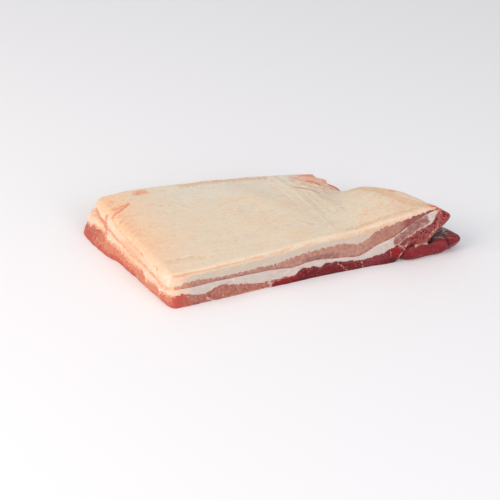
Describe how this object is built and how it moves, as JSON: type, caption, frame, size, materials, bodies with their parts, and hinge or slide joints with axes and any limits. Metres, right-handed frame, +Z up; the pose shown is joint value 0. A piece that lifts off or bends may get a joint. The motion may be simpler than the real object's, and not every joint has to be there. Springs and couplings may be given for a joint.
{
  "type": "pork belly slab",
  "caption": "Raw boneless pork belly slab, rind side up, with fat and lean layers along its cut edges and its slanted right end raised on a lean flap.",
  "frame": {"origin": "middle of the slab's box, at the height of its flat underside", "axes": "+X along the slab from its square left end to the slanted right end, +Y from the front cut to the back edge, +Z up towards the rind"},
  "size_m": [0.383, 0.1962, 0.0603],
  "materials": {
    "rind_fat": "cream rind over white fat, faintly moist, with orange cut edge",
    "pale_lean": "pinkish brown raw lean, moist, short fibres",
    "seam_fat": "greyish white raw fat, soft sheen",
    "dark_lean": "raw lean, pink at the left end and dark red at the right, moist, marbled",
    "flap_lean": "dark red raw lean, wet, with a grey membrane on top"
  },
  "bodies": {
    "root": {"fat_cap": "rind_fat", "upper_lean": "pale_lean", "fat_seam": "seam_fat", "lower_lean": "dark_lean", "lean_flap": "flap_lean"}
  },
  "joints": []
}
